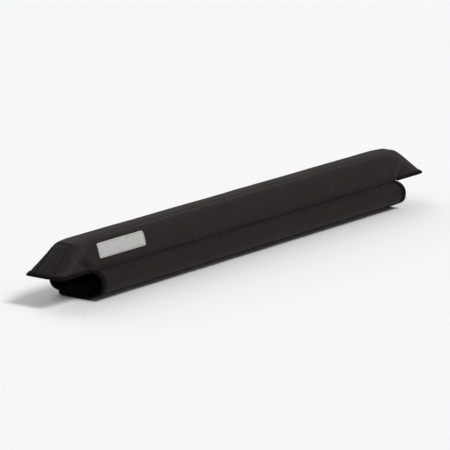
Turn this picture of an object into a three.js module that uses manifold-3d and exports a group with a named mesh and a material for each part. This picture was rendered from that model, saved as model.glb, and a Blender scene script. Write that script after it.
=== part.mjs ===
// Roof rack pad: a foam block in a sewn cover, held on an aerodynamic crossbar by two wraps
// that go round the bar and close with hook and loop strips underneath.
// Millimetres, +Z up. X runs along the bar, -Y is the leading edge, and left is -X.
// The model is laid out from the top of the bar, and the finished group stands on z = 0.

import * as THREE from 'three';
import { mergeVertices } from 'three/addons/utils/BufferGeometryUtils.js';
import Module from 'manifold-3d';

const wasm = await Module();
wasm.setup();

// Sleeve: the padded block on top of the bar
const PAD_LENGTH = 770;
const BASE_WIDTH = 56;
const PAD_HEIGHT = 36.5;
const SIDE_LEAN = THREE.MathUtils.degToRad(15);
const END_LEAN = THREE.MathUtils.degToRad(49);
const TOP_ROUND = 7;
const CORNER_ALONG_BASE = 5;
const CORNER_ALONG_TOP = 24;
const CORNER_ACROSS_BASE = 2.5;
const CORNER_ACROSS_TOP = 6.5;
const END_PANEL_BASE = 31;
const COVER_FABRIC = 1.2;
const BASE_FABRIC = 1.8;

// The bar that the wraps are cut for
const BAR_WIDTH = 80;
const BAR_HEIGHT = 30;
const BAR_SQUARENESS_ABOVE = 2.4;
const BAR_SQUARENESS_BELOW = 3.4;

// Wraps, their bindings and their closure
const WRAP_SETBACK = 63;
const WRAP_FABRIC = 1.2;
const BINDING_TAPE = 0.7;
const BINDING_WIDTH = 7.5;
const STRIP_WIDTH = 30;
const HOOK_THICKNESS = 1;
const LOOP_THICKNESS = 1;
const STRIP_MARGIN = 0.6;
const CLOSURE_CENTRE = 7;

// Reflective patch on the leading side
const PATCH_LENGTH = 90;
const PATCH_WIDTH = 19;
const PATCH_ROUND = 2.5;
const PATCH_FABRIC = 0.5;
const PATCH_END_DISTANCE = 79;
const PATCH_RISE = 12.5;

// Clearance between pieces that touch
const GAP = 0.3;

// How far a wrap's layers are drawn past the seam, before they are cut off level with it
const SEAM_RUN_ON = 6;

// Fineness of curves
const CORNER_STEPS = 5;
const ROUND_STEPS = 5;
const BAR_STEPS = 72;
const PATCH_STEPS = 5;
const LEAST_ROUND = 0.4;
const SAME_PLACE = 1e-4;

// Most of a half width that its two corners may take
const CORNER_SHARE = 0.8;

const fabric = new THREE.MeshStandardMaterial({ color: 0x2c2829, roughness: 0.85, metalness: 0 });
const baseFabric = new THREE.MeshStandardMaterial({ color: 0x1d1c1d, roughness: 0.75, metalness: 0 });
const tape = new THREE.MeshStandardMaterial({ color: 0x1c1a1b, roughness: 0.8, metalness: 0 });
const foam = new THREE.MeshStandardMaterial({ color: 0x5c5c5e, roughness: 0.95, metalness: 0 });
const hookTape = new THREE.MeshStandardMaterial({ color: 0x161617, roughness: 0.6, metalness: 0 });
const loopTape = new THREE.MeshStandardMaterial({ color: 0x1f1e1f, roughness: 1, metalness: 0 });
const reflective = new THREE.MeshStandardMaterial({ color: 0xb4b4b2, roughness: 0.4, metalness: 0.1 });

// Turns a closed geometry into a solid that can be joined and cut
function toSolid(geometry) {
  const bare = geometry.clone();
  bare.deleteAttribute('normal');
  bare.deleteAttribute('uv');
  const merged = mergeVertices(bare, SAME_PLACE);
  return new wasm.Manifold(new wasm.Mesh({
    numProp: 3,
    vertProperties: new Float32Array(merged.attributes.position.array),
    triVerts: new Uint32Array(merged.index.array),
  }));
}

function toGeometry(solid) {
  const result = solid.getMesh();
  const geometry = new THREE.BufferGeometry();
  geometry.setAttribute('position', new THREE.BufferAttribute(result.vertProperties, 3));
  geometry.setIndex(new THREE.BufferAttribute(result.triVerts, 1));
  geometry.computeVertexNormals();
  return geometry;
}

function makeMesh(name, geometry, material) {
  const mesh = new THREE.Mesh(geometry, material);
  mesh.name = name;
  return mesh;
}

// Extrudes an outline of (y, z) points along the bar, from one x to another
function extrudeAlongBar(outline, fromX, toX) {
  const shape = new THREE.Shape(outline);
  const geometry = new THREE.ExtrudeGeometry(shape, { depth: toX - fromX, bevelEnabled: false });
  const alongBar = new THREE.Matrix4().makeBasis(
    new THREE.Vector3(0, 1, 0),
    new THREE.Vector3(0, 0, 1),
    new THREE.Vector3(1, 0, 0),
  );
  geometry.applyMatrix4(alongBar);
  geometry.translate(fromX, 0, 0);
  return geometry;
}

// The sleeve's form, drawn in by an inset: its outer face at 0, the foam's at the fabric and a gap
function sleeveForm(inset) {
  const height = PAD_HEIGHT - inset;
  const round = Math.max(TOP_ROUND - inset, LEAST_ROUND);
  const halfWidth = BASE_WIDTH / 2 - inset / Math.cos(SIDE_LEAN);
  const halfLength = PAD_LENGTH / 2 - inset / Math.cos(END_LEAN);
  return { inset, height, round, halfWidth, halfLength };
}

// Distance of a leaning wall from the middle at a height, with its top edge rounded over
function wallAt(form, base, lean, z) {
  const sine = (z - form.height + form.round) / form.round;
  if (sine <= Math.sin(lean)) {
    return base - z * Math.tan(lean);
  }
  const sharpEdge = base - form.height * Math.tan(lean);
  const centre = sharpEdge - form.round * Math.tan((Math.PI / 2 - lean) / 2);
  return centre + form.round * Math.cos(Math.asin(Math.min(1, sine)));
}

function sideAt(form, z) {
  return wallAt(form, form.halfWidth, SIDE_LEAN, z);
}

function endAt(form, z) {
  return wallAt(form, form.halfLength, END_LEAN, z);
}

// The upright corners are nearly sharp at the base, and round over more towards the top
function cornerAt(form, z) {
  const share = z / PAD_HEIGHT;
  const along = THREE.MathUtils.lerp(CORNER_ALONG_BASE, CORNER_ALONG_TOP, share) - form.inset;
  const across = THREE.MathUtils.lerp(CORNER_ACROSS_BASE, CORNER_ACROSS_TOP, share) - form.inset;
  const room = CORNER_SHARE * sideAt(form, z);
  return {
    along: Math.max(along, LEAST_ROUND),
    across: Math.max(Math.min(across, room), LEAST_ROUND),
  };
}

function sleeveRing(form, z) {
  const { along, across } = cornerAt(form, z);
  const x = endAt(form, z) - along;
  const y = sideAt(form, z) - across;
  const centres = [[x, y], [-x, y], [-x, -y], [x, -y]];
  return centres.flatMap(([cx, cy], quarter) => {
    const points = [];
    for (let step = 0; step <= CORNER_STEPS; step += 1) {
      const angle = (quarter + step / CORNER_STEPS) * Math.PI / 2;
      points.push(new THREE.Vector3(cx + along * Math.cos(angle), cy + across * Math.sin(angle), z));
    }
    return points;
  });
}

// Heights where the sleeve's form changes between two levels
function ringLevels(form, fromZ, toZ) {
  const levels = [fromZ, toZ];
  for (const lean of [SIDE_LEAN, END_LEAN]) {
    for (let step = 0; step <= ROUND_STEPS; step += 1) {
      const angle = lean + (Math.PI / 2 - lean) * (step / ROUND_STEPS);
      levels.push(form.height - form.round + form.round * Math.sin(angle));
    }
  }
  const inside = levels.filter((z) => z >= fromZ && z <= toZ).sort((a, b) => a - b);
  return inside.filter((z, index) => index === 0 || z - inside[index - 1] > SAME_PLACE);
}

// Joins rings of equal point counts, one above the other, into a closed solid
function loftRings(rings) {
  const count = rings[0].length;
  const last = (rings.length - 1) * count;
  const positions = rings.flat().flatMap((point) => [point.x, point.y, point.z]);
  const index = [];
  for (let ring = 0; ring < rings.length - 1; ring += 1) {
    for (let i = 0; i < count; i += 1) {
      const a = ring * count + i;
      const b = ring * count + (i + 1) % count;
      index.push(a, b, b + count, a, b + count, a + count);
    }
  }
  for (let i = 1; i < count - 1; i += 1) {
    index.push(0, i + 1, i);
    index.push(last, last + i, last + i + 1);
  }
  const geometry = new THREE.BufferGeometry();
  geometry.setAttribute('position', new THREE.Float32BufferAttribute(positions, 3));
  geometry.setIndex(index);
  geometry.computeVertexNormals();
  return geometry;
}

function sleeveBlock(inset, fromZ, toZ) {
  const form = sleeveForm(inset);
  const levels = ringLevels(form, fromZ, Math.min(toZ, form.height));
  return loftRings(levels.map((z) => sleeveRing(form, z)));
}

// An end panel as a (y, z) outline: it narrows up to the corner rounds, and stops under the top round
function endPanelOutline(grow) {
  const form = sleeveForm(0);
  const top = form.height - form.round + form.round * Math.sin(END_LEAN);
  const halfTop = sideAt(form, top) - cornerAt(form, top).across + grow;
  const halfBase = END_PANEL_BASE / 2 + grow;
  const right = [new THREE.Vector2(halfBase, -GAP), new THREE.Vector2(halfTop, top + grow)];
  const left = right.map((point) => new THREE.Vector2(-point.x, point.y)).reverse();
  return [...right, ...left];
}

function coverShell() {
  const outside = toSolid(sleeveBlock(0, GAP, PAD_HEIGHT));
  const inside = toSolid(sleeveBlock(COVER_FABRIC, -GAP, PAD_HEIGHT));
  return outside.subtract(inside);
}

function topCover(shell) {
  const ends = toSolid(extrudeAlongBar(endPanelOutline(GAP), -PAD_LENGTH, PAD_LENGTH));
  return makeMesh('top_cover', toGeometry(shell.subtract(ends)), fabric);
}

function endPanel(shell, name, side) {
  const reach = [0, side * PAD_LENGTH].sort((a, b) => a - b);
  const end = toSolid(extrudeAlongBar(endPanelOutline(0), ...reach));
  return makeMesh(name, toGeometry(shell.intersect(end)), fabric);
}

function basePanel() {
  const inset = COVER_FABRIC + GAP;
  return makeMesh('base_panel', sleeveBlock(inset, GAP, GAP + BASE_FABRIC), baseFabric);
}

function foamCore() {
  const inset = COVER_FABRIC + GAP;
  return makeMesh('foam_core', sleeveBlock(inset, BASE_FABRIC + 2 * GAP, PAD_HEIGHT), foam);
}

function signedPower(value, power) {
  return Math.sign(value) * Math.abs(value) ** power;
}

// The bar's section, blunter below than above, grown by a distance
function barOutline(grow) {
  const points = [];
  for (let step = 0; step < BAR_STEPS; step += 1) {
    const angle = (2 * Math.PI * step) / BAR_STEPS;
    const squareness = Math.sin(angle) > 0 ? BAR_SQUARENESS_ABOVE : BAR_SQUARENESS_BELOW;
    const y = (BAR_WIDTH / 2 + grow) * signedPower(Math.cos(angle), 2 / squareness);
    const z = (BAR_HEIGHT / 2 + grow) * signedPower(Math.sin(angle), 2 / squareness);
    points.push(new THREE.Vector2(y, z - BAR_HEIGHT / 2));
  }
  return points;
}

function turn(a, b, c) {
  return (b.x - a.x) * (c.y - a.y) - (b.y - a.y) * (c.x - a.x);
}

// Convex hull, counterclockwise
function convexHull(points) {
  const sorted = [...points].sort((a, b) => a.x - b.x || a.y - b.y);
  const half = (list) => {
    const chain = [];
    for (const point of list) {
      while (chain.length > 1 && turn(chain.at(-2), chain.at(-1), point) <= 0) {
        chain.pop();
      }
      chain.push(point);
    }
    return chain.slice(0, -1);
  };
  return [...half(sorted), ...half(sorted.reverse())];
}

// Fabric pulled tight goes the shortest way: from the seam, round what it encloses, to its free edge
function tautPath(seam, enclosed, freeY) {
  const hull = convexHull([seam, ...enclosed.filter((point) => point.y < seam.y)]);
  const first = hull.indexOf(seam);
  const walk = [...hull.slice(first), ...hull.slice(0, first)];
  const stop = walk.findIndex((point) => point.x >= freeY && point.y < -BAR_HEIGHT / 2);
  const before = walk[stop - 1];
  const share = (freeY - before.x) / (walk[stop].x - before.x);
  return [...walk.slice(0, stop), before.clone().lerp(walk[stop], share)];
}

// Moves each point of a path outwards by a distance, keeping the layer's thickness at its bends
function offsetPath(path, distance) {
  const normals = path.slice(1).map((point, index) => {
    const along = point.clone().sub(path[index]).normalize();
    return new THREE.Vector2(along.y, -along.x);
  });
  return path.map((point, index) => {
    const before = normals[Math.max(index - 1, 0)];
    const after = normals[Math.min(index, normals.length - 1)];
    const middle = before.clone().add(after).normalize();
    return point.clone().addScaledVector(middle, distance / middle.dot(after));
  });
}

// Moves a path's last point on in its own direction
function extendEnd(path, distance) {
  const last = path.at(-1);
  const along = last.clone().sub(path.at(-2)).normalize();
  return [...path.slice(0, -1), last.clone().addScaledVector(along, distance)];
}

function extendStart(path, distance) {
  return extendEnd([...path].reverse(), distance).reverse();
}

// The stretch of a path between two distances measured back from its free edge
function stretchFromEnd(path, far, near) {
  const points = [];
  let walked = 0;
  for (let i = path.length - 1; i > 0; i -= 1) {
    const step = path[i].distanceTo(path[i - 1]);
    for (const mark of [near, far]) {
      if (mark >= walked && mark < walked + step) {
        points.push(path[i].clone().lerp(path[i - 1], (mark - walked) / step));
      }
    }
    walked += step;
    if (walked > near && walked < far) {
      points.push(path[i - 1].clone());
    }
  }
  return points.reverse();
}

// A layer between two distances from a path
function layerOutline(path, inner, outer) {
  return [...offsetPath(path, inner), ...offsetPath(path, outer).reverse()];
}

// Layer depths, measured outwards from a wrap's outer face
const BINDING_REACH = GAP + BINDING_TAPE;
const WRAP_CLEARANCE = BINDING_REACH + GAP;
const LOOP_FROM = GAP;
const LOOP_TO = LOOP_FROM + LOOP_THICKNESS;
const HOOK_FROM = -WRAP_FABRIC - GAP - HOOK_THICKNESS;
const HOOK_TO = -WRAP_FABRIC - GAP;
const STACK = LOOP_TO + GAP - HOOK_FROM;

// Places along a wrap, measured back from its free edge
const STRIP_NEAR = BINDING_WIDTH + BINDING_REACH + STRIP_MARGIN;
const STRIP_FAR = STRIP_NEAR + STRIP_WIDTH;
const CLOSURE_REACH = 2 * STRIP_FAR;
const WRAP_HALF_LENGTH = PAD_LENGTH / 2 - WRAP_SETBACK - BINDING_REACH;
const STRIP_HALF_LENGTH = WRAP_HALF_LENGTH - BINDING_WIDTH - STRIP_MARGIN;

// Both paths are drawn on the leading side: the rear wrap is the same work turned about
const seamPoint = new THREE.Vector2(-BASE_WIDTH / 2, 0);
const edgeFromCentre = STRIP_WIDTH / 2 + STRIP_NEAR;
const rearPath = tautPath(seamPoint, barOutline(WRAP_CLEARANCE + WRAP_FABRIC), edgeFromCentre - CLOSURE_CENTRE);
const frontPath = tautPath(seamPoint, frontEnclosed(), edgeFromCentre + CLOSURE_CENTRE);

// The front wrap also goes round the rear wrap's free part and the closure's strips
function frontEnclosed() {
  const bar = barOutline(WRAP_CLEARANCE + WRAP_FABRIC);
  const flap = extendEnd(rearPath, BINDING_REACH).map((point) => new THREE.Vector2(-point.x, point.y));
  const closure = stretchFromEnd(flap, CLOSURE_REACH, 0).reverse();
  return [...bar, ...offsetPath(closure, STACK).filter((point) => point.y < -BAR_HEIGHT / 2)];
}

function turnedAbout(outline, side) {
  const turned = outline.map((point) => new THREE.Vector2(side * point.x, point.y));
  return side < 0 ? turned.reverse() : turned;
}

function layerSolid(path, side, inner, outer, fromX, toX) {
  const outline = turnedAbout(layerOutline(path, inner, outer), side);
  return toSolid(extrudeAlongBar(outline, fromX, toX));
}

function cutAtSeam(solid) {
  return solid.trimByPlane([0, 0, -1], 0);
}

function wrap(name, path, side) {
  const drawn = extendStart(path, SEAM_RUN_ON);
  const layer = layerSolid(drawn, side, -WRAP_FABRIC, 0, -WRAP_HALF_LENGTH, WRAP_HALF_LENGTH);
  return makeMesh(name, toGeometry(cutAtSeam(layer)), fabric);
}

// One tape folded over three edges of a wrap: its left end, its free edge and its right end
function wrapBinding(name, path, side) {
  const inner = -WRAP_FABRIC - BINDING_REACH;
  const reachX = WRAP_HALF_LENGTH + BINDING_REACH;
  const inwardX = WRAP_HALF_LENGTH - BINDING_WIDTH;
  const slotX = WRAP_HALF_LENGTH + GAP;
  const drawn = extendStart(path, SEAM_RUN_ON);
  const covered = extendEnd(drawn, BINDING_REACH);
  const edgePath = stretchFromEnd(covered, BINDING_WIDTH + BINDING_REACH, 0);
  const left = layerSolid(covered, side, inner, BINDING_REACH, -reachX, -inwardX);
  const right = layerSolid(covered, side, inner, BINDING_REACH, inwardX, reachX);
  const edge = layerSolid(edgePath, side, inner, BINDING_REACH, -reachX, reachX);
  const slot = layerSolid(extendEnd(drawn, GAP), side, -WRAP_FABRIC - GAP, GAP, -slotX, slotX);
  return makeMesh(name, toGeometry(cutAtSeam(left.add(right).add(edge).subtract(slot))), tape);
}

function closureStrip(name, path, side, from, to, material) {
  const stretch = stretchFromEnd(path, STRIP_FAR, STRIP_NEAR);
  const strip = layerSolid(stretch, side, from, to, -STRIP_HALF_LENGTH, STRIP_HALF_LENGTH);
  return makeMesh(name, toGeometry(strip), material);
}

function roundedRectangle(length, width, round) {
  const shape = new THREE.Shape();
  const x = length / 2 - round;
  const y = width / 2 - round;
  shape.absarc(x, y, round, 0, Math.PI / 2);
  shape.absarc(-x, y, round, Math.PI / 2, Math.PI);
  shape.absarc(-x, -y, round, Math.PI, 1.5 * Math.PI);
  shape.absarc(x, -y, round, 1.5 * Math.PI, 2 * Math.PI);
  return shape;
}

// The patch lies flat on the leading side, near the left end
function reflectivePatch() {
  const shape = roundedRectangle(PATCH_LENGTH, PATCH_WIDTH, PATCH_ROUND);
  const options = { depth: PATCH_FABRIC, bevelEnabled: false, curveSegments: PATCH_STEPS };
  const mesh = makeMesh('reflective_patch', new THREE.ExtrudeGeometry(shape, options), reflective);
  const upSlope = PATCH_RISE + PATCH_WIDTH / 2;
  mesh.rotation.x = Math.PI / 2 - SIDE_LEAN;
  mesh.position.set(
    -PAD_LENGTH / 2 + PATCH_END_DISTANCE + PATCH_LENGTH / 2,
    -BASE_WIDTH / 2 + upSlope * Math.sin(SIDE_LEAN) - GAP * Math.cos(SIDE_LEAN),
    upSlope * Math.cos(SIDE_LEAN) + GAP * Math.sin(SIDE_LEAN),
  );
  return mesh;
}

function roofRackPad() {
  const shell = coverShell();
  const pad = new THREE.Group();
  pad.add(foamCore());
  pad.add(topCover(shell));
  pad.add(endPanel(shell, 'left_end_panel', -1));
  pad.add(endPanel(shell, 'right_end_panel', 1));
  pad.add(basePanel());
  pad.add(wrap('front_wrap', frontPath, 1));
  pad.add(wrap('rear_wrap', rearPath, -1));
  pad.add(wrapBinding('front_wrap_binding', frontPath, 1));
  pad.add(wrapBinding('rear_wrap_binding', rearPath, -1));
  pad.add(closureStrip('hook_strip', frontPath, 1, HOOK_FROM, HOOK_TO, hookTape));
  pad.add(closureStrip('loop_strip', rearPath, -1, LOOP_FROM, LOOP_TO, loopTape));
  pad.add(reflectivePatch());
  const lowest = Math.min(...offsetPath(frontPath, BINDING_REACH).map((point) => point.y));
  pad.position.z = -lowest;
  return pad;
}

export default roofRackPad();
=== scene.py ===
"""Looks of the roof rack pad: a foam block in a sewn fabric cover, held on a crossbar by two bound
wraps that close underneath with hook and loop strips. Lengths are worked out in millimetres, in
a frame whose zero height is the bar's top, and each mesh is made in metres."""

import math

import bmesh
import bpy
import numpy as np
from mathutils import Matrix, Vector, noise
from mathutils.bvhtree import BVHTree


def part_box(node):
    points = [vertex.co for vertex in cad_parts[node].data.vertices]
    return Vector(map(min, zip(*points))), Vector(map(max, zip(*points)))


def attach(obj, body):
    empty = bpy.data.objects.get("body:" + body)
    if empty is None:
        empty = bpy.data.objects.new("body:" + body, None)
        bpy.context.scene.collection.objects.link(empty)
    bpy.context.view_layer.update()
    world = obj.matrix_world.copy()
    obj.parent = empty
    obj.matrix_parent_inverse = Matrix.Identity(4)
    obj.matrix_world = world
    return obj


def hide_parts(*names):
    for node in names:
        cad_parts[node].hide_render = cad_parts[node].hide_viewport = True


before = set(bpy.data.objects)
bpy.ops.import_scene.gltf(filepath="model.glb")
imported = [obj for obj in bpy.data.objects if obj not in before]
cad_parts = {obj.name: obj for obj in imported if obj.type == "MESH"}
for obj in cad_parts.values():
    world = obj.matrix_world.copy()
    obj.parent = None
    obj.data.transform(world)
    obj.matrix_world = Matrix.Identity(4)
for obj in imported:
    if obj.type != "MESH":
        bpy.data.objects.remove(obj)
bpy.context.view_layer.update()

MM = 0.001
SEAM = np.array([0, 0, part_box("front_wrap")[1].z / MM])

# Sleeve, as in the part's source
PAD_LENGTH = 770
BASE_WIDTH = 56
PAD_HEIGHT = 36.5
SIDE_LEAN = math.radians(15)
END_LEAN = math.radians(49)
TOP_ROUND = 7
CORNER_ALONG = (5, 24)
CORNER_ACROSS = (2.5, 6.5)
END_PANEL_BASE = 31
COVER_FABRIC = 1.2
BASE_FABRIC = 1.8
GAP = 0.3

# Bar and wraps, as in the part's source
BAR_WIDTH = 80
BAR_HEIGHT = 30
BAR_SQUARENESS = (2.4, 3.4)
WRAP_SETBACK = 63
WRAP_FABRIC = 1.2
BINDING_TAPE = 0.7
BINDING_WIDTH = 7.5
BINDING_REACH = GAP + BINDING_TAPE
STRIP_WIDTH = 30
STRIP_THICKNESS = 1
STRIP_MARGIN = 0.6
CLOSURE_CENTRE = 7
WRAP_HALF = PAD_LENGTH / 2 - WRAP_SETBACK - BINDING_REACH
STRIP_NEAR = BINDING_WIDTH + BINDING_REACH + STRIP_MARGIN
STRIP_FAR = STRIP_NEAR + STRIP_WIDTH
STRIP_HALF = WRAP_HALF - BINDING_WIDTH - STRIP_MARGIN
FREE_CORNER = 7
NOTCH = WRAP_HALF + BINDING_REACH

# Patch
PATCH_LENGTH = 90
PATCH_WIDTH = 19
PATCH_END_DISTANCE = 79
PATCH_ROUND = 2.5
PATCH_CENTRE = -PAD_LENGTH / 2 + PATCH_END_DISTANCE + PATCH_LENGTH / 2
PATCH_LOW_EDGE = 12.5
PATCH_RISE = PATCH_LOW_EDGE + PATCH_WIDTH / 2
PATCH_SEAM_INSET = 1.9
PATCH_SEAM_CORNER = 1.4

# Cover's simulation
START_INSET = 0.4
MOST_SWELL = 1.5
PRESSURE = 1.2
FOAM_GIVE = 0.15
FRAMES = 20

# Finish: how flat the corners' facets are, the hem's height and thickness, the cover's thickness,
# the base seam's stitches above the edge, and the foam's inset, narrower foot and fill
FACET_SHARE = 0.5
HEM_RISE = 3.4
HEM_LIFT = 1.1
SKIN = 0.9
BASE_ROW_RISE = 3.1
FOAM_INSET = 4.8
FOAM_FOOT = (5, 3.4)

# Studio: lamps as azimuth, elevation, strength and softness in degrees
LAMPS = {"key": (8, 52, 2.1, 20), "back": (152, 34, 1.18, 50)}
WORLD_LIGHT, WORLD_SEEN = 0.34, 0.97
FLOOR_HALF = 14.0
CAMERA_PLACE = (-3.8346, -2.9299, 1.1265)
CAMERA_AIM = (-0.022, 0.0, 0.036)
CAMERA_LENS = 308
CAMERA_ROLL = -0.55


def lerp(a, b, t):
    return a + (b - a) * t


def smooth(edge0, edge1, x):
    t = np.clip((np.asarray(x, float) - edge0) / (edge1 - edge0), 0, 1)
    return t * t * (3 - 2 * t)


def bell(distance, width):
    return np.exp(-((distance / width) ** 2))


def unit(vectors):
    return vectors / np.maximum(np.linalg.norm(vectors, axis=-1, keepdims=True), 1e-9)


def walk(points):
    """How far along a line of points each one lies."""
    steps = np.linalg.norm(np.diff(points, axis=0), axis=1)
    return np.concatenate([[0], np.cumsum(steps)])


def evenly(points, count):
    """count + 1 points evenly spaced along a line."""
    walked = walk(points)
    marks = np.linspace(0, walked[-1], count + 1)
    return np.stack([np.interp(marks, walked, column) for column in np.asarray(points).T], 1)


def noise_at(points, scale, seed):
    """Smooth noise from about -1 to 1, with features about as large as scale."""
    shift = Vector((seed * 17.3, seed * 5.1, seed * 9.7))
    return np.array([noise.noise(Vector(p) / scale + shift) for p in points])


# Meshes


def add_object(name, data):
    obj = bpy.data.objects.new(name, data)
    bpy.context.scene.collection.objects.link(obj)
    return obj


def add_mesh(name, points, faces, material, uvs=None):
    """A mesh from points above the bar's top; uvs gives each corner's place on the cloth."""
    mesh = bpy.data.meshes.new(name)
    placed = (np.asarray(points, float) + SEAM) * MM
    mesh.from_pydata([tuple(p) for p in placed], [], [tuple(int(i) for i in f) for f in faces])
    if uvs is not None:
        layer = mesh.uv_layers.new(name="weave")
        layer.data.foreach_set("uv", np.asarray(uvs, np.float32).ravel() * MM)
    mesh.update()
    if material:
        mesh.materials.append(material)
    mesh.polygons.foreach_set("use_smooth", [True] * len(mesh.polygons))
    return add_object(name, mesh)


def vectors_of(obj, kind):
    found = np.zeros(len(obj.data.vertices) * 3, np.float32)
    obj.data.vertices.foreach_get(kind, found)
    return found.reshape(-1, 3).astype(float)


def points_of(obj):
    return vectors_of(obj, "co") / MM - SEAM


def normals_of(obj):
    return vectors_of(obj, "normal")


def put_points(obj, points):
    obj.data.vertices.foreach_set("co", ((points + SEAM) * MM).astype(np.float32).ravel())
    obj.data.update()


def apply_modifiers(obj):
    graph = bpy.context.evaluated_depsgraph_get()
    made = bpy.data.meshes.new_from_object(obj.evaluated_get(graph))
    old = obj.data
    obj.modifiers.clear()
    obj.data = made
    bpy.data.meshes.remove(old)


def outward(obj):
    """Turns a closed mesh's faces to look outwards."""
    bm = bmesh.new()
    bm.from_mesh(obj.data)
    bmesh.ops.recalc_face_normals(bm, faces=bm.faces)
    bm.to_mesh(obj.data)
    bm.free()
    return obj


def keep_faces(source, target, wanted):
    """Puts into one mesh those faces of another whose material index is wanted."""
    bm = bmesh.new()
    bm.from_mesh(source)
    dropped = [f for f in bm.faces if f.material_index not in wanted]
    bmesh.ops.delete(bm, geom=dropped, context="FACES")
    bm.to_mesh(target)
    bm.free()


def band(first, count):
    """Faces between a ring of points, from index first on, and the next ring."""
    pairs = ((i, (i + 1) % count) for i in range(count))
    return [(first + i, first + j, first + count + j, first + count + i) for i, j in pairs]


def round_corners(x, v, half_x, half_v, radius):
    """Draws a flat grid's points in to rounded corners."""
    dx, dv = np.maximum(abs(x) - half_x + radius, 0), np.maximum(abs(v) - half_v + radius, 0)
    reach = np.hypot(dx, dv)
    outside = (dx > 0) & (dv > 0) & (reach > radius)
    pull = np.where(outside, radius / np.maximum(reach, 1e-9), 1)
    x = np.where(dx > 0, np.sign(x) * (half_x - radius + dx * pull), x)
    return x, np.where(dv > 0, np.sign(v) * (half_v - radius + dv * pull), v)


def layered(name, outer, inner, flat, material):
    """A thin cloth from its two faces' grids of points, with a rim; flat is its place laid flat."""
    nx, ny = outer.shape[0] - 1, outer.shape[1] - 1
    count = (nx + 1) * (ny + 1)
    points = np.concatenate([outer.reshape(-1, 3), inner.reshape(-1, 3)])
    flat = flat.reshape(-1, 2)

    def at(i, j, layer=0):
        return layer * count + i * (ny + 1) + j

    faces = []
    for i in range(nx):
        for j in range(ny):
            faces.append((at(i, j), at(i + 1, j), at(i + 1, j + 1), at(i, j + 1)))
            faces.append((at(i, j + 1, 1), at(i + 1, j + 1, 1), at(i + 1, j, 1), at(i, j, 1)))
    rim = ([(i, 0) for i in range(nx)] + [(nx, j) for j in range(ny)]
           + [(i, ny) for i in range(nx, 0, -1)] + [(0, j) for j in range(ny, 0, -1)])
    for (i, j), (k, m) in zip(rim, rim[1:] + rim[:1]):
        faces.append((at(k, m), at(i, j), at(i, j, 1), at(k, m, 1)))
    uvs = [flat[corner % count] for face in faces for corner in face]
    return outward(add_mesh(name, points, faces, material, uvs))


# Materials


class Nodes:
    """Short forms for building a material's nodes."""

    def __init__(self, name):
        self.material = bpy.data.materials.new(name)
        self.material.use_nodes = True
        self.tree = self.material.node_tree
        self.shader = self.tree.nodes["Principled BSDF"]

    def feed(self, socket, value):
        if isinstance(value, bpy.types.NodeSocket):
            self.tree.links.new(value, socket)
        else:
            socket.default_value = value

    def new(self, kind, inputs=None, **settings):
        node = self.tree.nodes.new("ShaderNode" + kind)
        for key, value in settings.items():
            setattr(node, key, value)
        for socket, value in (inputs or {}).items():
            self.feed(node.inputs[socket], value)
        return node

    def maths(self, operation, *values, clamp=False):
        inputs = dict(enumerate(values))
        return self.new("Math", inputs, operation=operation, use_clamp=clamp).outputs[0]

    def mix(self, share, a, b):
        """A colour between two, each a socket or its red, green and blue."""
        a, b = ((*c, 1) if isinstance(c, tuple) else c for c in (a, b))
        return self.new("Mix", {0: share, 6: a, 7: b}, data_type="RGBA").outputs[2]

    def spread(self, *values):
        """A value carried over from one range, low and high, to another, 0 and 1 if not given."""
        values = dict(enumerate([*values, 0.0, 1.0][:5]))
        return self.new("MapRange", values, clamp=True).outputs[0]

    def object_place(self):
        return self.new("TexCoord").outputs["Object"]

    def cloth_place(self):
        return self.new("UVMap", uv_map="weave").outputs[0]

    def cloth_axes(self):
        return self.new("SeparateXYZ", {0: self.cloth_place()}).outputs[:2]

    def wave(self, distance, pitch):
        """A sine that crosses zero once in each pitch."""
        return self.maths("SINE", self.maths("MULTIPLY", distance, math.pi / (pitch * MM)))

    def ribs(self, distance, pitch):
        return self.maths("ABSOLUTE", self.wave(distance, pitch))

    def noise(self, scale, detail=2.0, roughness=0.5, place=None):
        inputs = {"Vector": place or self.object_place(), "Scale": scale, "Detail": detail}
        return self.new("TexNoise", {**inputs, "Roughness": roughness}).outputs["Fac"]

    def cells(self, place, scale, feature="F1", randomness=1.0):
        inputs = {"Vector": place, "Scale": scale, "Randomness": randomness}
        return self.new("TexVoronoi", inputs, feature=feature).outputs["Distance"]

    def bump(self, height, distance, strength, after=None):
        inputs = {"Height": height, "Distance": distance, "Strength": strength}
        if after:
            inputs["Normal"] = after
        return self.new("Bump", inputs).outputs["Normal"]

    def weave(self, pitch):
        """Plain weave of yarns: its height, and 1 where the yarn along the cloth is on top."""
        across, along = (self.wave(axis, pitch) for axis in self.cloth_axes())
        over = self.maths("GREATER_THAN", self.maths("MULTIPLY", across, along), 0.0)
        sizes = [self.maths("ABSOLUTE", side) for side in (across, along)]
        arches = [self.maths("MULTIPLY", size, self.spread(other, 0.0, 1.0, 0.55, 1.0))
                  for size, other in (sizes, sizes[::-1])]
        inputs = {0: over, 2: arches[1], 3: arches[0]}
        return self.new("Mix", inputs, data_type="FLOAT").outputs[0], over

    def finish(self, colour, roughness, normal, **plain):
        given = {"Base Color": colour, "Roughness": roughness, "Normal": normal}
        for key, value in {**given, **plain}.items():
            self.feed(self.shader.inputs[key.replace("_", " ")], value)
        return self.material


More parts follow.
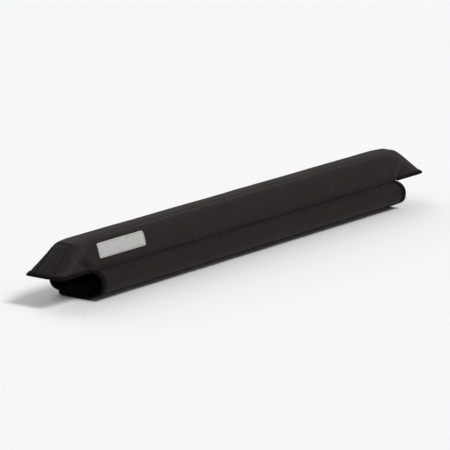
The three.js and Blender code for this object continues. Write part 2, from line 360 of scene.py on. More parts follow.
def cover_material():
    """Heavy charcoal polyester: plain weave, a slight warm tint, soft sheen, paler where it rubs, and
    paler where painted highlight lies on the corners' facets and painted light on the sides.
    """
    n = Nodes("cover_fabric")
    height, over = n.weave(0.85)
    mottle = n.noise(26.0, 3.0)
    drawn_out = n.new("Mapping", {"Vector": n.cloth_place(), "Scale": (90.0, 1100.0, 1.0)})
    slub = n.noise(1.0, 1.0, place=drawn_out.outputs[0])
    worn_and_painted_light = n.new("Attribute", attribute_name="worn_and_painted_light").outputs["Fac"]
    fuzz = n.noise(420.0, 3.0, 0.65)
    dark, mid, pale = (0.0063, 0.0048, 0.0052), (0.0145, 0.0114, 0.0119), (0.033, 0.0265, 0.0278)
    yarn = n.mix(n.spread(height, 0.05, 0.75), dark, mid)
    yarn = n.mix(n.maths("MULTIPLY", over, 0.10), yarn, pale)
    yarn = n.mix(n.spread(mottle, 0.35, 0.72, 0.0, 0.14), yarn, pale)
    yarn = n.mix(n.spread(slub, 0.45, 0.75, 0.0, 0.14), yarn, pale)
    # The paler mix is rubbing, with painted highlight on the corners' facets and painted light on the
    # sides facing ±y
    rub_and_painted_light = n.maths("MULTIPLY", worn_and_painted_light, n.spread(fuzz, 0.2, 0.8, 0.25, 0.75), clamp=True)
    colour = n.mix(n.maths("MULTIPLY", rub_and_painted_light, 0.42), yarn, (0.070, 0.060, 0.062))
    uneven = n.maths("ADD", height, n.spread(fuzz, 0.3, 0.7, -0.2, 0.2))
    soft = n.bump(mottle, 0.0009, 0.5)
    normal = n.bump(height, 0.00016, 0.75, n.bump(fuzz, 0.00012, 0.4, soft))
    return n.finish(colour, n.spread(uneven, 0.0, 1.0, 0.86, 0.66), normal, Sheen_Weight=0.07,
                    Sheen_Roughness=0.42, Sheen_Tint=(0.95, 0.78, 0.81, 1), Specular_IOR_Level=0.09)


def base_material():
    """Dense dark backing cloth, with a dull coat on it."""
    n = Nodes("base_fabric")
    height, _ = n.weave(1.3)
    grain = n.noise(300.0, 3.0)
    colour = n.mix(n.spread(height, 0.0, 0.8), (0.0075, 0.0072, 0.0075), (0.0165, 0.016, 0.0165))
    colour = n.mix(n.spread(grain, 0.45, 0.75, 0.0, 0.25), colour, (0.035, 0.034, 0.035))
    normal = n.bump(height, 0.0002, 0.6, n.bump(grain, 0.0001, 0.5))
    return n.finish(colour, n.spread(grain, 0.3, 0.7, 0.55, 0.78), normal, Specular_IOR_Level=0.4)


def rubber_material():
    """Soft rubber of the grip dots."""
    n = Nodes("grip_rubber")
    grain = n.noise(900.0)
    dust = n.spread(n.noise(60.0), 0.4, 0.7, 0.0, 0.5)
    colour = n.mix(dust, (0.0125, 0.0125, 0.013), (0.028, 0.0275, 0.028))
    return n.finish(colour, n.spread(grain, 0.3, 0.7, 0.42, 0.6), n.bump(grain, 0.00008, 0.5),
                    Specular_IOR_Level=0.5)


def tape_material():
    """Ribbed binding tape: fine ribs across its width. Its near-black colour is partly the tape's own and
    partly painted shade of the contact shadow along the pad's lower edges.
    """
    n = Nodes("binding_tape")
    along, across = n.cloth_axes()
    fuzz = n.noise(500.0, 3.0, 0.6)
    mottle = n.noise(45.0)
    height = n.maths("ADD", n.maths("MULTIPLY", n.ribs(along, 0.9), 0.8),
                     n.maths("MULTIPLY", n.ribs(across, 1.6), 0.2))
    # Darker than the tape's own black: partly painted shade, standing in for the contact shadow along the
    # hem and the bindings
    colour = n.mix(n.spread(height, 0.1, 0.9), (0.0011, 0.0010, 0.0010), (0.0038, 0.0034, 0.0035))
    colour = n.mix(n.spread(mottle, 0.4, 0.7, 0.0, 0.15), colour, (0.006, 0.0054, 0.0056))
    normal = n.bump(height, 0.00018, 0.7, n.bump(fuzz, 0.00008, 0.4))
    return n.finish(colour, n.spread(fuzz, 0.3, 0.7, 0.7, 0.9), normal, Sheen_Weight=0.01,
                    Sheen_Roughness=0.45, Specular_IOR_Level=0.08)


def thread_material():
    """Bonded sewing thread with a twist."""
    n = Nodes("sewing_thread")
    along, across = n.cloth_axes()
    twist = n.ribs(n.maths("ADD", along, n.maths("MULTIPLY", across, 0.8)), 0.45)
    colour = n.mix(twist, (0.005, 0.0042, 0.0044), (0.015, 0.0126, 0.0130))
    return n.finish(colour, n.spread(twist, 0.0, 1.0, 0.62, 0.46), n.bump(twist, 0.00008, 0.6),
                    Sheen_Weight=0.03, Specular_IOR_Level=0.2)


def foam_material():
    """Closed-cell foam: fine pores."""
    n = Nodes("foam")
    wall = n.spread(n.cells(n.object_place(), 700.0, "DISTANCE_TO_EDGE"), 0.0, 0.12)
    colour = n.mix(wall, (0.145, 0.145, 0.15), (0.085, 0.085, 0.088))
    mottle = n.spread(n.noise(30.0, 3.0), 0.4, 0.7, 0.0, 0.3)
    colour = n.mix(mottle, colour, (0.17, 0.17, 0.172))
    return n.finish(colour, n.spread(wall, 0.0, 1.0, 0.95, 0.8), n.bump(wall, 0.0003, 0.6),
                    Specular_IOR_Level=0.25)


def hook_material():
    """Hook tape: rows of small stiff hooks, drawn as a bumpy grid."""
    n = Nodes("hook_tape")
    cells = n.cells(n.cloth_place(), 820.0, randomness=0.15)
    stem = n.spread(cells, 0.18, 0.42, 1.0, 0.0)
    colour = n.mix(stem, (0.006, 0.006, 0.0063), (0.031, 0.030, 0.031))
    return n.finish(colour, n.spread(stem, 0.0, 1.0, 0.7, 0.35), n.bump(stem, 0.0006, 0.9),
                    Specular_IOR_Level=0.5)


def loop_material():
    """Loop tape: a nap of fine tangled loops."""
    n = Nodes("loop_tape")
    tangle = n.noise(900.0, 6.0, 0.75)
    nap = n.spread(n.noise(140.0, 3.0), 0.4, 0.7, 0.0, 0.25)
    colour = n.mix(n.spread(tangle, 0.35, 0.68), (0.007, 0.0066, 0.0068), (0.044, 0.041, 0.042))
    colour = n.mix(nap, colour, (0.05, 0.047, 0.048))
    return n.finish(colour, n.spread(tangle, 0.3, 0.7, 1.0, 0.85), n.bump(tangle, 0.0006, 0.9),
                    Sheen_Weight=0.35, Sheen_Roughness=0.5, Specular_IOR_Level=0.2)


def reflective_material():
    """Pale reflective cloth: fine glass beads in a soft film, over a faint weave."""
    n = Nodes("reflective_fabric")
    bead = n.spread(n.cells(n.cloth_place(), 2600.0), 0.1, 0.6, 1.0, 0.0)
    height, _ = n.weave(0.9)
    scuff = n.noise(120.0, 4.0, 0.6)
    colour = n.mix(n.spread(height, 0.0, 0.6), (0.34, 0.34, 0.336), (0.49, 0.49, 0.486))
    colour = n.mix(n.maths("MULTIPLY", bead, 0.35), colour, (0.60, 0.60, 0.596))
    colour = n.mix(n.spread(scuff, 0.52, 0.75, 0.0, 0.45), colour, (0.30, 0.296, 0.292))
    uneven = n.maths("ADD", bead, n.spread(scuff, 0.4, 0.7, 0.0, 0.5))
    normal = n.bump(height, 0.0001, 0.6, n.bump(bead, 0.00005, 0.4))
    return n.finish(colour, n.spread(uneven, 0.0, 1.2, 0.38, 0.62), normal, Metallic=0.12,
                    Specular_IOR_Level=0.6)


def floor_material():
    n = Nodes("floor")
    grain = n.noise(3.0)
    colour = n.mix(n.spread(grain, 0.3, 0.7, 0.0, 0.3), (0.87, 0.87, 0.87), (0.85, 0.85, 0.852))
    return n.finish(colour, n.spread(grain, 0.3, 0.7, 0.85, 0.9), n.bump(grain, 0.0002, 0.1),
                    Specular_IOR_Level=0.2)


COVER = cover_material()
BASE = base_material()
TAPE = tape_material()
THREAD = thread_material()


# Sleeve's form

TOP_ANGLES = (27, 38, 49, 61, 75, 90)


class Form:
    """The sleeve's form, drawn in by an inset."""

    def __init__(self, inset):
        self.inset = inset
        self.height = PAD_HEIGHT - inset
        self.round = TOP_ROUND - inset
        self.half_width = BASE_WIDTH / 2 - inset / math.cos(SIDE_LEAN)
        self.half_length = PAD_LENGTH / 2 - inset / math.cos(END_LEAN)

    def wall(self, base, lean, z):
        sine = (z - self.height + self.round) / self.round
        if sine <= math.sin(lean):
            return base - z * math.tan(lean)
        sharp = base - self.height * math.tan(lean)
        centre = sharp - self.round * math.tan((math.pi / 2 - lean) / 2)
        return centre + self.round * math.cos(math.asin(min(1.0, sine)))

    def side(self, z):
        return self.wall(self.half_width, SIDE_LEAN, z)

    def end(self, z):
        return self.wall(self.half_length, END_LEAN, z)

    def corner(self, z):
        """Where the corner's curve starts on the end and on the side, and its reach along and across."""
        share = z / PAD_HEIGHT
        along = lerp(*CORNER_ALONG, share) - self.inset
        across = min(lerp(*CORNER_ACROSS, share) - self.inset, 0.8 * self.side(z))
        return self.end(z) - along, self.side(z) - across, along, across

    def round_height(self, angle):
        return self.height - self.round + self.round * math.sin(angle)

    def seam_top(self):
        return self.round_height(END_LEAN)

    def seam_half(self, z):
        """Half the end panel's width at a height, and above it the width between the corners."""
        top = self.seam_top()
        if z <= top:
            return lerp(END_PANEL_BASE / 2, self.corner(top)[1], z / top)
        return self.corner(z)[1]

    def levels(self, step):
        """Heights of the rings: even up the walls, and by angle over the top's rounds."""
        first = self.round_height(SIDE_LEAN)
        count = max(2, round(first / step))
        up = [lerp(GAP, first, (i / count) ** 0.92) for i in range(count + 1)]
        return up + [self.round_height(math.radians(a)) for a in TOP_ANGLES]


TRUE = Form(0)


def corner_curve(form, z, from_angle, to_angle, count):
    """A corner's outline in the +x +y quadrant, between a facet and the full curve."""
    x, y, along, across = form.corner(z)
    angles = np.linspace(from_angle, to_angle, count)
    turned = np.radians(angles)
    curve = np.stack([x + along * np.cos(turned), y + across * np.sin(turned)], 1)
    chord = lerp(np.array([[x + along, y]]), np.array([[x, y + across]]), angles[:, None] / 90)
    return lerp(curve, chord, FACET_SHARE)


def quadrant(form, z, shares, arc_cells, corner_cells, panel_cells):
    """A quarter of a ring, from the side's middle to the end's middle, at +x +y."""
    x, y, along, across = form.corner(z)
    side = np.stack([x * shares, np.full(len(shares), y + across)], 1)
    upper = evenly(corner_curve(form, z, 90, 45, 24), arc_cells)[1:]
    seam = form.seam_half(z)
    lower = corner_curve(form, z, 45, 0, 24)
    if y - seam > 1e-6:
        lower = np.concatenate([lower, [[x + along, seam]]])
    lower = evenly(lower, corner_cells)[1:]
    down = np.linspace(seam, 0, panel_cells + 1)[1:]
    panel = np.stack([np.full(panel_cells, x + along), down], 1)
    return np.concatenate([side, upper, lower, panel])


class Grid:
    """The sleeve as one closed grid: rings up the walls, filled in on top and underneath."""

    FINE_SPAN = 62
    FULL_SIZE_UP_TO = 5

    def __init__(self, inset, step=4.0, fine=2.2, ring_step=2.6, cells=(3, 4, 4)):
        half = PAD_LENGTH / 2 - CORNER_ALONG[0]
        plain = half - self.FINE_SPAN
        coarse = np.linspace(0, plain, round(plain / step) + 1)
        near_end = np.linspace(plain, half, round(self.FINE_SPAN / fine) + 1)[1:]
        self.shares = np.concatenate([coarse, near_end]) / half
        self.cells = arc_cells, corner_cells, self.panel_cells = cells
        # A ring starts at the middle of the -x end, and its first long side after first cells
        self.first = corner_cells + self.panel_cells
        self.nx, self.ny = 2 * (len(self.shares) - 1 + arc_cells), 2 * self.first
        form = Form(inset)
        self.ring_z = form.levels(ring_step)
        self.rings = np.array([
            lerp(self.ring(TRUE, z, z), self.ring(form, z, z),
                 float(smooth(GAP, self.FULL_SIZE_UP_TO, z))) for z in self.ring_z])
        self.count = self.rings.shape[1]
        self.right = self.first + self.nx + self.ny // 2
        self.seam_level = int(np.argmin(abs(np.array(self.ring_z) - TRUE.seam_top())))
        self.build()

    def ring(self, form, at, z):
        """The form's outline at one height, laid at the height z, from the middle of the -x end."""
        q = quadrant(form, at, self.shares, *self.cells)
        quarters = [q[::-1] * [-1, -1], q[1:] * [1, -1], q[::-1][1:], q[1:-1] * [-1, 1]]
        ring = np.concatenate(quarters)
        return np.column_stack([ring, np.full(len(ring), z)])

    def on_panel(self, i):
        """Which end panel a ring's cell is on: 1 for the left, 2 for the right, 0 for none."""
        if i < self.panel_cells or i >= self.count - self.panel_cells:
            return 1
        return 2 if -self.panel_cells <= i - self.right < self.panel_cells else 0

    def cloth_places(self):
        """Each ring point's place on the cloth, for the near side, the far side and the ends."""
        side_middle, end_middle = self.first + self.nx // 2, self.right
        rise, end_rise = (walk(self.rings[:, at])[:, None] for at in (side_middle, end_middle))
        rounds = np.array([walk(np.concatenate([ring, ring[:1]])) for ring in self.rings])
        whole = rounds[:, -1:]
        down = abs(self.rings[-1, side_middle, 1]) + rise[-1] - rise
        places = []
        for middle, sign in ((side_middle, 1), (side_middle + self.nx + self.ny, -1)):
            past = rounds[:, :-1] - rounds[:, middle : middle + 1]
            past = (past + whole / 2) % whole - whole / 2
            places.append(np.stack(np.broadcast_arrays(sign * past, -sign * down), -1))
        ends = np.stack(np.broadcast_arrays(self.rings[:, :, 1], end_rise), -1)
        return [*places, ends]

    def build(self):
        """Points, faces, cloth places and parts: 0 the cover, 1 and 2 its end panels, 3 underneath."""
        points = [p for ring in self.rings for p in ring]
        faces, parts, uvs = [], [], []
        near_places, far_places, end_places = self.cloth_places()
        for level in range(len(self.rings) - 1):
            for i, face in enumerate(band(level * self.count, self.count)):
                j = (i + 1) % self.count
                part = self.on_panel(i) if level < self.seam_level else 0
                near = self.rings[level, i, 1] + self.rings[level, j, 1] < 0
                places = end_places if part else near_places if near else far_places
                faces.append(face)
                parts.append(part)
                uvs += [places[level, i], places[level, j]]
                uvs += [places[level + 1, j], places[level + 1, i]]
        last = (len(self.rings) - 1) * self.count
        for base, ring, part in ((last, self.rings[-1], 0), (0, self.rings[0], 3)):
            for face, places in self.fill(ring, base, part == 0, points):
                faces.append(face)
                parts.append(part)
                uvs.extend(places)
        self.points, self.faces, self.parts, self.uvs = np.array(points), faces, parts, uvs

    def fill(self, ring, base, up, points):
        """Faces of a grid inside a ring whose points start at index base, and their places on the
        cloth. The grid's inner points are added to points."""
        nx, ny = self.nx, self.ny
        order = (self.first + np.arange(self.count + 1)) % self.count
        index = np.zeros((nx + 1, ny + 1), int)
        index[:, 0] = order[: nx + 1]
        index[nx, :] = order[nx : nx + ny + 1]
        index[::-1, ny] = order[nx + ny : 2 * nx + ny + 1]
        index[0, ::-1] = order[2 * nx + ny :]
        near, far, left, right = (ring[at] for at in (index[:, 0], index[:, ny], index[0], index[nx]))
        u = ((near[:, 0] - near[0, 0]) / (near[-1, 0] - near[0, 0]))[:, None, None]
        v = ((left[:, 1] - left[0, 1]) / (left[-1, 1] - left[0, 1]))[None, :, None]
        ruled = (1 - v) * near[:, None] + v * far[:, None] + (1 - u) * left[None] + u * right[None]
        low, high = ((1 - u) * side[0] + u * side[-1] for side in (near, far))
        inner = ruled - (1 - v) * low - v * high
        index += base
        for i in range(1, nx):
            for j in range(1, ny):
                index[i, j] = len(points)
                points.append(inner[i, j])
        made = []
        for i in range(nx):
            for j in range(ny):
                corners = ((i, j), (i + 1, j), (i + 1, j + 1), (i, j + 1))[:: 1 if up else -1]
                made.append((tuple(index[c] for c in corners), [inner[c][:2] for c in corners]))
        return made

    def seam_points(self):
        """Indices of the points on the two end panels' seams."""
        cells = self.panel_cells
        at = np.arange(self.count)
        on_left = (at + cells) % self.count
        on_right = at - self.right + cells
        across = at[(on_left <= 2 * cells) | ((on_right >= 0) & (on_right <= 2 * cells))]
        sides = np.array([cells, self.count - cells, self.right - cells, self.right + cells])
        up = [level * self.count + sides for level in range(self.seam_level + 1)]
        return np.concatenate([*up, self.seam_level * self.count + across])


# Cover


def simulate(obj, pinned):
    """Blows the cover up against its seams, and keeps each point near where it started."""
    group = obj.vertex_groups.new(name="pinned")
    group.add([int(i) for i in pinned], 1.0, "REPLACE")
    start, resting = points_of(obj), normals_of(obj)
    cloth = obj.modifiers.new("cloth", "CLOTH")
    settings = cloth.settings
    settings.quality = 5
    settings.mass = 0.25
    settings.tension_stiffness = settings.compression_stiffness = 18
    settings.shear_stiffness = 8
    settings.bending_stiffness = 0.6
    settings.vertex_group_mass = "pinned"
    settings.use_pressure = True
    settings.uniform_pressure_force = PRESSURE
    settings.effector_weights.gravity = 0
    cloth.collision_settings.use_collision = False
    for f in range(1, FRAMES + 1):
        bpy.context.scene.frame_set(f)
    step = points_of(obj.evaluated_get(bpy.context.evaluated_depsgraph_get())) - start
    obj.modifiers.clear()
    obj.vertex_groups.clear()
    bpy.context.scene.frame_set(1)
    # The foam behind it keeps the cloth from drawing in
    outwards = (step * resting).sum(1)
    step += resting * np.maximum(0, -FOAM_GIVE - outwards)[:, None]
    far = np.maximum(np.linalg.norm(step, axis=1, keepdims=True), 1e-9)
    put_points(obj, start + step * np.tanh(far / MOST_SWELL) * MOST_SWELL / far)


def make_cover():
    cover = add_mesh("whole_cover", grid.points, grid.faces, None, grid.uvs)
    for material in (COVER, COVER, COVER, BASE):
        cover.data.materials.append(material)
    cover.data.polygons.foreach_set("material_index", grid.parts)
    under = [i for face, part in zip(grid.faces, grid.parts) if part == 3 for i in face]
    simulate(cover, sorted({*range(grid.count), *under, *grid.seam_points()}))
    keep_faces(cover.data, cover.data, (0, 1, 2))
    fine = cover.modifiers.new("fine", "SUBSURF")
    fine.levels = fine.render_levels = 1
    fine.uv_smooth = "NONE"
    fine.boundary_smooth = "PRESERVE_CORNERS"
    apply_modifiers(cover)
    return cover


def line_distance(points, line):
    """Distance of each point from a line drawn at the near right corner, and how far along it."""
    best = np.full(len(points), 1e9)
    along = np.zeros(len(points))
    folded = np.column_stack([abs(points[:, 0]), abs(points[:, 1]), points[:, 2]])
    for a, b, walked in zip(line[:-1], line[1:], walk(line)):
        step = b - a
        length = np.linalg.norm(step)
        t = np.clip((folded - a) @ step / length**2, 0, 1)
        dist = np.linalg.norm(folded - a - t[:, None] * step, axis=1)
        nearer = dist < best
        best[nearer] = dist[nearer]
        along[nearer] = walked + t[nearer] * length
    return best, along


def seam_line():
    """Half of an end panel's seam: up its side, and across its top to the middle."""
    top = TRUE.seam_top()
    rise = [[TRUE.end(z), TRUE.seam_half(z), z] for z in np.linspace(0, top, 40)]
    across = [[TRUE.end(top), y, top] for y in np.linspace(TRUE.seam_half(top), 0, 8)[1:]]
    return np.array(rise + across)


def ridge_line():
    """Where a corner's facet meets the side."""
    heights = np.linspace(0, TRUE.height - 3, 30)
    return np.array([[TRUE.corner(z)[0], TRUE.side(z), z] for z in heights])


# Folds at a notch: where each starts and ends, past the notch and up, its depth and its width.
# The first one's length and the others' slants vary a little from notch to notch.
NOTCH_FOLDS = (
    ((-4.0, -2.0), (27.0, 19.0), (1, 0), 4.4, 3.7),
    ((-5.0, -1.0), (-16.0, 12.0), (0, 1), 0.9, 3.4),
    ((-1.0, 2.0), (7.0, 25.0), (0, 1), 0.5, 3.4),
)


def notch_folds(points, normals):
    """Folds that the wraps' pull draws from the notches up the sides."""
    total = np.zeros(len(points))
    for x_sign in (-1, 1):
        for y_sign in (-1, 1):
            vary = 0.15 * math.sin((3 + x_sign + 2 * y_sign) * 2.1)
            towards, height = x_sign * points[:, 0] - NOTCH, points[:, 2]
            on_side = np.clip(-0.4 + 2.2 * y_sign * normals[:, 1], 0, 1)
            for (ax, az), (bx, bz), (vary_x, vary_z), depth, width in NOTCH_FOLDS:
                dx, dz = bx * (1 + vary * vary_x) - ax, bz * (1 + vary * vary_z) - az
                length = math.hypot(dx, dz)
                t = ((towards - ax) * dx + (height - az) * dz) / length**2
                held = np.clip(t, 0, 1)
                dist = np.hypot(towards - ax - held * dx, height - az - held * dz)
                fade = smooth(1.2, 0.45, t) * smooth(-0.4, 0.0, t)
                spread = width * (1 + 0.25 * held)
                over = ((height - az) * dx - (towards - ax) * dz) / length
                ridge = lerp(0.12, 0.34, smooth(-2, 2, over)) * bell(dist - 2 * spread, 1.3 * spread)
                total += depth * fade * on_side * (ridge - bell(dist, spread))
    return total


def detail_cover(cover):
    """Seams, puckers, folds and soft unevenness, moved along the normals."""
    points, normals = points_of(cover), normals_of(cover)
    x, z = points[:, 0], points[:, 2]
    dist, along = line_distance(points, seam_line())
    from_ridge, _ = line_distance(points, ridge_line())
    body = smooth(0.4, 3.0, z)
    sewn_in = -1.4 * bell(dist, 2.3) * smooth(0.2, 2.5, z)
    ridge = 1.3 * bell(from_ridge, 3.4) * smooth(2, 9, z) * smooth(34, 27, z)
    puckers = np.sin(2 * math.pi * along / 6.4 + 2.2 * noise_at(points, 11, 4))
    puckers = 0.22 * puckers * bell(dist - 3.2, 2.6) * body
    # Puckers up from the base seam, where the wraps are sewn on
    sewn = smooth(NOTCH + 4, NOTCH - 6, abs(x))
    wave = noise_at(points * [1, 0.2, 0.2], 14, 7)
    along_seam = np.sin(2 * math.pi * x / 10.5 + 3.2 * wave)
    base_puckers = (0.10 + 0.10 * wave) * along_seam * bell(z - 1.5, 5.5) * sewn * body
    crease = -1.2 * bell(z, 4.0) * sewn * smooth(0.4, 1.4, z)
    # Slow unevenness of a stuffed block, and long shallow drags along the top's edges
    stuffing = 0.30 * noise_at(points * [0.55, 1, 1], 38, 1) + 0.10 * noise_at(points, 12, 2)
    drags = 0.08 * bell(abs(z - 30.5), 5.0) * noise_at(points * [1.6, 0.3, 0.3], 30, 9)
    folds = notch_folds(points, normals) * smooth(2.5, 7.5, z)
    move = sewn_in + ridge + puckers + base_puckers + crease + stuffing * body + drags + folds
    points = points + normals * move[:, None]
    points[:, 2] = np.where(z > GAP + 1e-3, np.maximum(points[:, 2], GAP), points[:, 2])
    put_points(cover, points)


def wear_and_painted_light(points, normals):
    """0 to 1, how much paler the cloth is: rubbing and a painted highlight on the corners' facets, paler
    along the top's edges, and painted light on the sides.
    """
    edge = bell(points[:, 2] - 34.0, 3.5)
    from_ridge, _ = line_distance(points, ridge_line())
    # abs(normal y) is painted light on the sides; the bell about the ridge is rubbing and a painted
    # highlight on the facets
    return np.clip(0.36 * abs(normals[:, 1]) + 0.25 * edge + bell(from_ridge, 4.6), 0, 1)


def add_wear_and_painted_light(obj, values):
    attribute = obj.data.attributes.new("worn_and_painted_light", "FLOAT", "POINT")
    attribute.data.foreach_set("value", values.astype(np.float32))


def split_cover(cover):
    """The top cover and the two end panels, each as its own piece."""
    for part, name in enumerate(("cover_top", "cover_left_end", "cover_right_end")):
        mesh = bpy.data.meshes.new(name)
        keep_faces(cover.data, mesh, (part,))
        mesh.polygons.foreach_set("material_index", [0] * len(mesh.polygons))
        mesh.materials.append(COVER)
        yield add_object(name, mesh)


def thicken(obj, thickness):
    """Gives a skin its cloth's thickness, inwards."""
    skin = obj.modifiers.new("skin", "SOLIDIFY")
    skin.thickness = thickness * MM
    skin.offset = -1
    skin.use_even_offset = False
    apply_modifiers(obj)


grid = Grid(START_INSET)
whole = make_cover()
detail_cover(whole)
# Paler cloth: rubbing, painted highlight on the facets and painted light on the sides
add_wear_and_painted_light(whole, wear_and_painted_light(points_of(whole), normals_of(whole)))
cover_top, cover_left, cover_right = split_cover(whole)
cover_surface = BVHTree.FromObject(whole, bpy.context.evaluated_depsgraph_get())
bpy.data.objects.remove(whole)


def on_cover(point, direction, lift=0.0):
    """Where a ray from outside meets the cover, lifted off it, and the normal there."""
    start = Vector((point + SEAM) * MM)
    towards = Vector(direction).normalized()
    hit, normal, _, _ = cover_surface.ray_cast(start - towards * 0.05, towards, 0.2)
    if hit is None:
        hit, normal, _, _ = cover_surface.find_nearest(start)
    if normal.dot(towards) > 0:
        normal = -normal
    return np.array(hit) / MM - SEAM + np.array(normal) * lift, np.array(normal)


# Sweeps and stitches


def tube(first, rows, count, lengths, girths):
    """A capped tube's faces, its rings starting at index first, and their places on the cloth."""
    faces, uvs = [], []
    for r in range(rows - 1):
        faces += band(first + r * count, count)
        u0, u1 = lengths[r], lengths[r + 1]
        for v0, v1 in zip(girths[:-1], girths[1:]):
            uvs += [(u0, v0), (u0, v1), (u1, v1), (u1, v0)]
    last = first + (rows - 1) * count
    faces += [tuple(range(first, first + count))[::-1], tuple(range(last, last + count))]
    uvs += [(lengths[0], v) for v in girths[-2::-1]] + [(lengths[-1], v) for v in girths[:-1]]
    return faces, uvs


def sweep(name, sections, lengths=None):
    """A capped tube of tape through sections, each a loop of points."""
    if lengths is None:
        lengths = walk(sections.mean(axis=1))
    middle = sections[len(sections) // 2]
    girths = walk(np.concatenate([middle, middle[:1]]))
    faces, uvs = tube(0, *sections.shape[:2], lengths, girths)
    return outward(add_mesh(name, sections.reshape(-1, 3), faces, TAPE, uvs))


# A stitch's rings: share of its length, share of its radius, and rise in radii
STITCH_RINGS = (
    (0.0, 0.25, -0.35), (0.14, 0.85, -0.05), (0.5, 1.0, 0.12), (0.86, 0.85, -0.05), (1.0, 0.25, -0.35),
)
STITCH_SIDES = 6
THREAD_SIDE = 0.3


def stitches(name, rows, length=3.3, space=1.15, radius=0.3):
    """Rows of stitches, each row a place function and a length as along_line gives them."""
    points, faces, uvs = [], [], []
    turns = 2 * math.pi * np.arange(STITCH_SIDES) / STITCH_SIDES
    girths = THREAD_SIDE * np.arange(STITCH_SIDES + 1)
    ring_shares = np.array(STITCH_RINGS)[:, 0]
    for place, whole_length in rows:
        count = max(1, round(whole_length / (length + space)))
        pitch = whole_length / count
        span = pitch * length / (length + space)
        for k in range(count):
            made = tube(len(points), len(STITCH_RINGS), STITCH_SIDES, ring_shares * span, girths)
            faces += made[0]
            uvs += made[1]
            for share, size, rise in STITCH_RINGS:
                at = pitch * k + (pitch - span) / 2 + share * span
                centre, normal = place(at)
                tangent = unit(place(at + 0.2)[0] - place(at - 0.2)[0])
                normal = unit(normal)
                across = np.cross(tangent, normal)
                spokes = np.outer(np.cos(turns), across) + np.outer(np.sin(turns), normal)
                points.extend(centre + normal * (rise * radius) + spokes * radius * size)
    return outward(add_mesh(name, points, faces, THREAD, uvs))


def along_line(points, normals):
    """place(distance) along a line with normals, and its length."""
    columns = [*np.asarray(points, float).T, *np.asarray(normals, float).T]
    walked = walk(points)

    def place(distance):
        found = np.array([np.interp(distance, walked, column) for column in columns])
        return found[:3], found[3:]

    return place, float(walked[-1])


# Wraps


def signed_power(value, power):
    return np.sign(value) * np.abs(value) ** power


def bar_outline(grow, steps=720):
    angle = 2 * math.pi * np.arange(steps) / steps
    square = np.where(np.sin(angle) > 0, *BAR_SQUARENESS)
    y = (BAR_WIDTH / 2 + grow) * signed_power(np.round(np.cos(angle), 12), 2 / square)
    z = (BAR_HEIGHT / 2 + grow) * signed_power(np.round(np.sin(angle), 12), 2 / square)
    return np.stack([y, z - BAR_HEIGHT / 2], 1)


def turn(a, b, c):
    return (b[0] - a[0]) * (c[1] - a[1]) - (b[1] - a[1]) * (c[0] - a[0])


def convex_hull(points):
    def half(ordered):
        chain = []
        for p in ordered:
            while len(chain) > 1 and turn(chain[-2], chain[-1], p) <= 1e-9:
                chain.pop()
            chain.append(p)
        return chain[:-1]

    ordered = sorted(map(tuple, points))
    return half(ordered) + half(ordered[::-1])


def taut_path(seam, enclosed, free_y):
    """The tight path from the seam, round what it encloses, to the free edge, as (y, z)."""
    hull = convex_hull([seam, *[tuple(p) for p in enclosed if p[1] < seam[1]]])
    first = hull.index(tuple(seam))
    around = hull[first:] + hull[:first]
    stop = next(i for i, p in enumerate(around) if p[0] >= free_y and p[1] < -BAR_HEIGHT / 2)
    before, after = np.array(around[stop - 1]), np.array(around[stop])
    share = (free_y - before[0]) / (after[0] - before[0])
    return np.array([*around[:stop], before + share * (after - before)])


def offset_line(path, distance):
    steps = unit(np.diff(path, axis=0))
    normals = np.stack([steps[:, 1], -steps[:, 0]], 1)
    before, after = np.concatenate([normals[:1], normals]), np.concatenate([normals, normals[-1:]])
    middle = unit(before + after)
    return path + middle * (distance / (middle * after).sum(1))[:, None]


# A wrap's bends are eased with a bell of this width, over points this far apart on each side
EASE_WIDTH = 2.2
EASE_STEP = 0.5
EASE_POINTS = 12


class Cloth:
    """A wrap as bent cloth: place(x, s, h) at a distance s down from its seam, h off its outer face."""

    def __init__(self, path, side, sway):
        self.side, self.sway = side, sway
        fine = evenly(path, round(walk(path)[-1] / EASE_STEP))
        kernel = bell(np.arange(-EASE_POINTS, EASE_POINTS + 1) * EASE_STEP, EASE_WIDTH)
        start = 2 * fine[0] - fine[1 : EASE_POINTS + 1][::-1]
        end = 2 * fine[-1] - fine[-EASE_POINTS - 1 : -1][::-1]
        padded = np.concatenate([start, fine, end])
        eased = [np.convolve(column, kernel / kernel.sum(), "valid") for column in padded.T]
        self.points = np.stack(eased, 1)
        self.tangents = unit(np.gradient(self.points, axis=0))
        self.s = walk(self.points)
        self.length = float(self.s[-1])

    def place(self, x, s, h=0.0):
        x, s, h = np.broadcast_arrays(*(np.asarray(value, float) for value in (x, s, h)))
        inside = np.clip(s, 0, self.length)
        columns = (*self.points.T, *self.tangents.T)
        y, z, ty, tz = (np.interp(inside, self.s, column) for column in columns)
        size = np.hypot(ty, tz)
        ty, tz = ty / size, tz / size
        past, off = s - inside, h + self.sway(x, inside)
        return np.stack([x, self.side * (y + past * ty + off * tz), z + past * tz - off * ty], -1)

    def normal(self, x, s):
        step = 0.4
        along = self.place(x + step, s) - self.place(x - step, s)
        down = self.place(x, s + step) - self.place(x, s - step)
        found = unit(np.cross(along, down))
        lifted = self.place(x, s, 1.0) - self.place(x, s)
        return found * np.where((found * lifted).sum(-1, keepdims=True) < 0, -1, 1)


def slow_wave(values, scale, seed):
    """Smooth one-way unevenness from -1 to 1."""
    v = np.asarray(values, float) / scale + seed * 1.37
    return (np.sin(v * 2.1) + 0.6 * np.sin(v * 4.7 + 1.3) + 0.4 * np.sin(v * 9.1 + 4.2)) / 2


